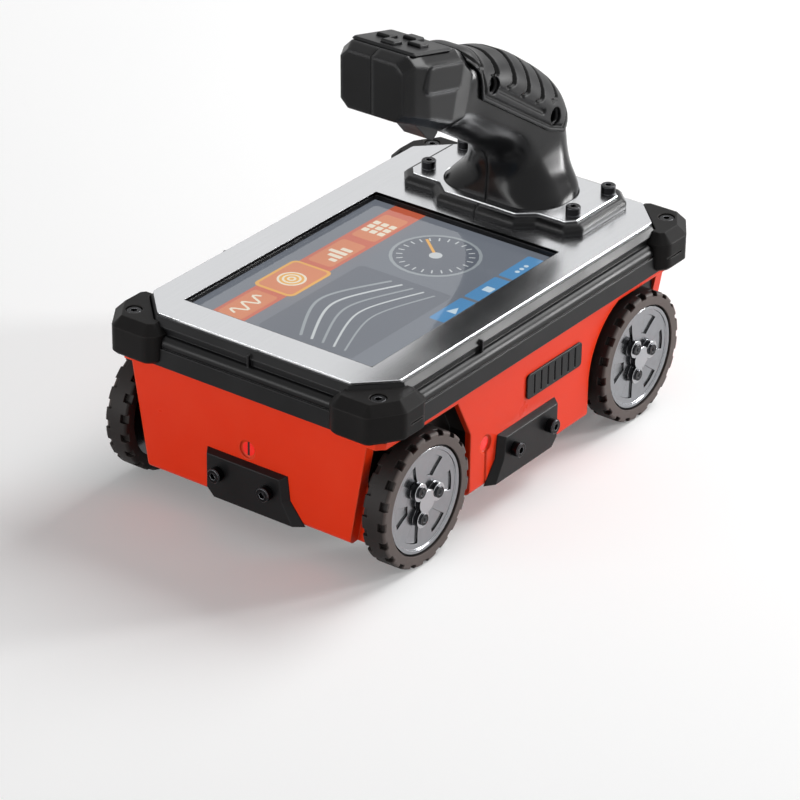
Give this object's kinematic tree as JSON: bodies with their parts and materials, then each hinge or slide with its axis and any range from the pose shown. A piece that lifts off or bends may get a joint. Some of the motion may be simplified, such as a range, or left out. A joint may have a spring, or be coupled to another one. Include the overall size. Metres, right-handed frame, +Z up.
{
  "type": "wheeled concrete scanning radar",
  "caption": "Radar scanner for concrete: a boxy shell on belt-linked wheels with rubber corners, a deck display and a pistol grip with trigger and keypad.",
  "frame": {"origin": "on the ground under the middle of the body, on the left-right middle plane", "axes": "+Z up, -Y the front that leads as it rolls, +X the right-hand side"},
  "size_m": [0.1642, 0.2542, 0.2074],
  "materials": {
    "shell_red": "satin",
    "frame_black": "fine texture",
    "fascia_silver": "satin anodised",
    "window_glass": "polished",
    "display_dark": "gloss",
    "bumper_rubber": "matte",
    "tyre_rubber": "matte",
    "hub_grey": "painted silver",
    "black_steel": "black oxide",
    "steel": "ground",
    "board_green": "solder mask",
    "shield_tin": "plain",
    "battery_grey": "shrink wrap",
    "key_black": "matte",
    "lens_red": "clear",
    "skid_grey": "plain",
    "gasket_black": "matte"
  },
  "bodies": {
    "chassis": {"antenna_board": "board_green", "antenna_shields": "shield_tin", "axle_bearings": "steel", "battery_cover": "shell_red", "battery_cover_screws": "black_steel", "battery_pack": "battery_grey", "bumper_front_left": "bumper_rubber", "bumper_front_right": "bumper_rubber", "bumper_rear_left": "bumper_rubber", "bumper_rear_right": "bumper_rubber", "clamp_plate": "fascia_silver", "deck_screws": "black_steel", "display_panel": "display_dark", "display_window": "window_glass", "drive_belt": "gasket_black", "encoder_sensor": "frame_black", "fascia_plate": "fascia_silver", "grip_pad": "bumper_rubber", "handle_half_screws": "black_steel", "handle_left": "frame_black", "handle_right": "frame_black", "keypad_bezel": "key_black", "keypad_board": "board_green", "laser_lenses": "lens_red", "laser_modules": "shield_tin", "lower_shell": "shell_red", "main_board": "board_green", "mounting_tabs": "frame_black", "shell_gasket": "gasket_black", "side_plaques": "frame_black", "skid_plate": "skid_grey", "skid_screws": "steel", "tab_screws": "black_steel", "top_frame": "frame_black", "trigger_pin": "steel", "trigger_spring": "steel", "trigger_switch": "frame_black"},
    "front_wheels": {"front_axle": "steel", "front_pulley": "frame_black", "front_left_tyre": "tyre_rubber", "front_right_tyre": "tyre_rubber", "front_left_hub": "hub_grey", "front_right_hub": "hub_grey", "front_hub_caps": "hub_grey", "front_hub_screws": "black_steel"},
    "rear_wheels": {"rear_axle": "steel", "rear_pulley": "frame_black", "rear_left_tyre": "tyre_rubber", "rear_right_tyre": "tyre_rubber", "rear_left_hub": "hub_grey", "rear_right_hub": "hub_grey", "rear_hub_caps": "hub_grey", "rear_hub_screws": "black_steel", "encoder_disc": "steel"},
    "front_key": {"key_front": "key_black"},
    "back_key": {"key_back": "key_black"},
    "left_key": {"key_left": "key_black"},
    "right_key": {"key_right": "key_black"},
    "trigger_lever": {"trigger": "frame_black"}
  },
  "joints": [
    {"name": "rear_wheels_roll", "type": "hinge", "parent": "chassis", "child": "rear_wheels", "pos_m": [0, 0.0806, 0.0324], "axis": [1, 0, 0], "continuous": true},
    {"name": "front_wheels_roll", "type": "hinge", "parent": "chassis", "child": "front_wheels", "pos_m": [0, -0.092, 0.0324], "axis": [1, 0, 0], "continuous": true},
    {"name": "front_key_press", "type": "slide", "parent": "chassis", "child": "front_key", "axis": [0, -0.2251, -0.9743], "range_m": [0, 0.0007], "stiffness_N_per_m": 1500},
    {"name": "back_key_press", "type": "slide", "parent": "chassis", "child": "back_key", "axis": [0, -0.2251, -0.9743], "range_m": [0, 0.0007], "stiffness_N_per_m": 1500},
    {"name": "left_key_press", "type": "slide", "parent": "chassis", "child": "left_key", "axis": [0, -0.2251, -0.9743], "range_m": [0, 0.0007], "stiffness_N_per_m": 1500},
    {"name": "right_key_press", "type": "slide", "parent": "chassis", "child": "right_key", "axis": [0, -0.2251, -0.9743], "range_m": [0, 0.0007], "stiffness_N_per_m": 1500},
    {"name": "trigger_pull", "type": "hinge", "parent": "chassis", "child": "trigger_lever", "pos_m": [0, -0.004, 0.1685], "axis": [1, 0, 0], "range_deg": [0, 7], "stiffness_Nm_per_rad": 0.3, "springref_deg": -8.59, "deforming": ["trigger_spring"]}
  ],
  "couplings": [
    {"joint": "front_wheels_roll", "follows": "rear_wheels_roll", "ratio": 1}
  ]
}
